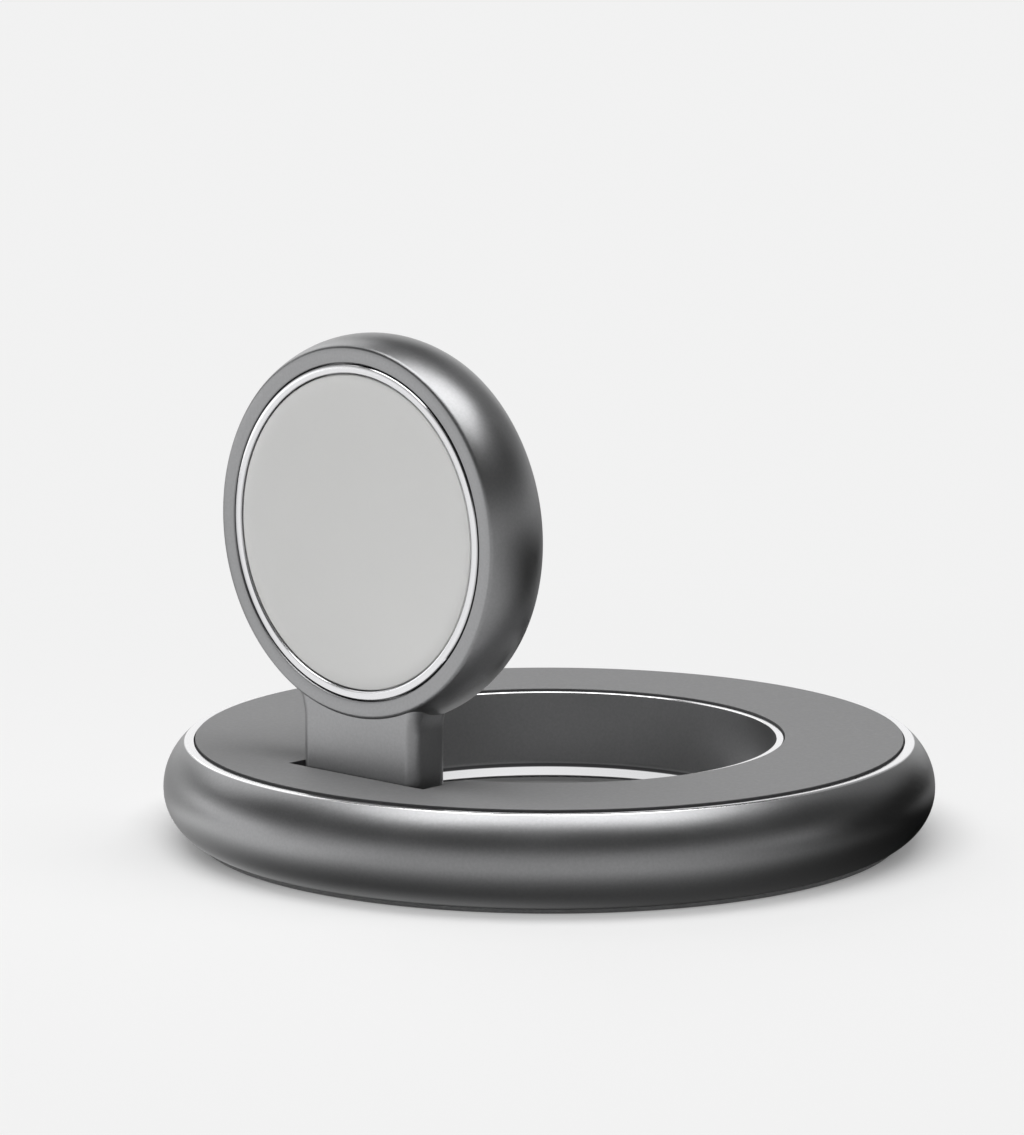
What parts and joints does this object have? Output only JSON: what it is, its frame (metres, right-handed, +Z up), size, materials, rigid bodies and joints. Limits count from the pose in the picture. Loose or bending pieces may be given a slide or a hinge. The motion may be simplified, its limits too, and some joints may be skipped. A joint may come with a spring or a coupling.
{
  "type": "smartwatch charging stand",
  "caption": "Flat metal ring stand with a soft top pad and a flip-up round charging head on a friction hinge; the head folds down into the open middle of the ring.",
  "frame": {"origin": "middle of the ring base on the surface that it stands on", "axes": "+Z up, the upright charging face looks along -Y, the hinge axis lies along X"},
  "size_m": [0.072, 0.0717, 0.0488],
  "materials": {
    "ring_metal": "dark grey anodised, bead-blasted satin, polished rims",
    "rear_metal": "dark grey anodised, bead-blasted satin",
    "block_metal": "dark grey satin coat on a casting",
    "soft_pad": "matt mid-grey soft-touch",
    "foot_rubber": "matt dark grey",
    "dark_moulding": "fine-grained black moulding",
    "cup_plastic": "smooth pale grey-white",
    "polished_steel": "polished",
    "screw_steel": "machined steel",
    "ballast_steel": "zinc-plated steel",
    "inlet_steel": "drawn stainless steel",
    "magnet_metal": "nickel-plated",
    "copper_wire": "enamelled copper winding",
    "ferrite": "sintered dark grey",
    "board_laminate": "green solder mask",
    "chip_moulding": "black mould compound",
    "bearing_plastic": "natural acetal",
    "lead_jacket": "soft black jacket"
  },
  "bodies": {
    "base": {"base_ring": "ring_metal", "top_pad": "soft_pad", "base_cover": "dark_moulding", "foot_ring": "foot_rubber", "cover_screws": "screw_steel", "block_screws": "screw_steel", "board_screws": "screw_steel", "hinge_block": "block_metal", "hinge_bushes": "bearing_plastic", "ballast_right": "ballast_steel", "ballast_left": "ballast_steel", "main_board": "board_laminate", "controller_chip": "chip_moulding", "choke_coil": "ferrite", "lead_header": "chip_moulding", "port_shell": "inlet_steel", "port_tongue": "dark_moulding", "base_lead": "lead_jacket"},
    "head": {"head_shell": "ring_metal", "cup_trim": "polished_steel", "charging_cup": "cup_plastic", "charge_coil": "copper_wire", "ferrite_disc": "ferrite", "alignment_magnet": "magnet_metal", "coil_board": "board_laminate", "rear_cover": "rear_metal", "hollow_shaft": "screw_steel", "friction_shaft": "screw_steel", "spring_washers": "screw_steel", "shaft_nut": "screw_steel", "head_lead": "lead_jacket"}
  },
  "joints": [
    {"name": "head_fold", "type": "hinge", "parent": "base", "child": "head", "pos_m": [0, -0.0235, 0.0058], "axis": [-1, 0, 0], "range_deg": [0, 90]}
  ]
}
